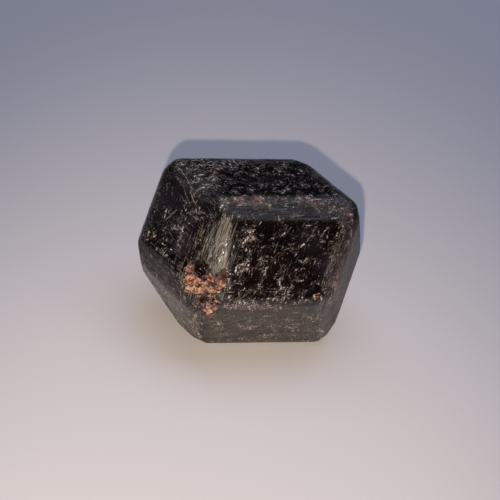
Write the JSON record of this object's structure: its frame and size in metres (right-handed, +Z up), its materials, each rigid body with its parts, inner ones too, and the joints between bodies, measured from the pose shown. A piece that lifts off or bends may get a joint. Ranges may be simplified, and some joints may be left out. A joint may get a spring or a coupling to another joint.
{
  "type": "garnet crystal",
  "caption": "Loose natural garnet crystal: a stretched dodecahedron of dark stone with rhombic faces, striated bevelled edges and a weathered hollow.",
  "frame": {"origin": "under the middle of the crystal's bounding box, on the surface it rests on", "axes": "+X along the long edges, +Z up out of the top face, -Y towards the face beside the wide striated band"},
  "size_m": [0.0342, 0.0266, 0.0243],
  "materials": {
    "garnet": "worn, near-black, with a dull sheen"
  },
  "bodies": {
    "root": {"garnet_crystal": "garnet"}
  },
  "joints": []
}
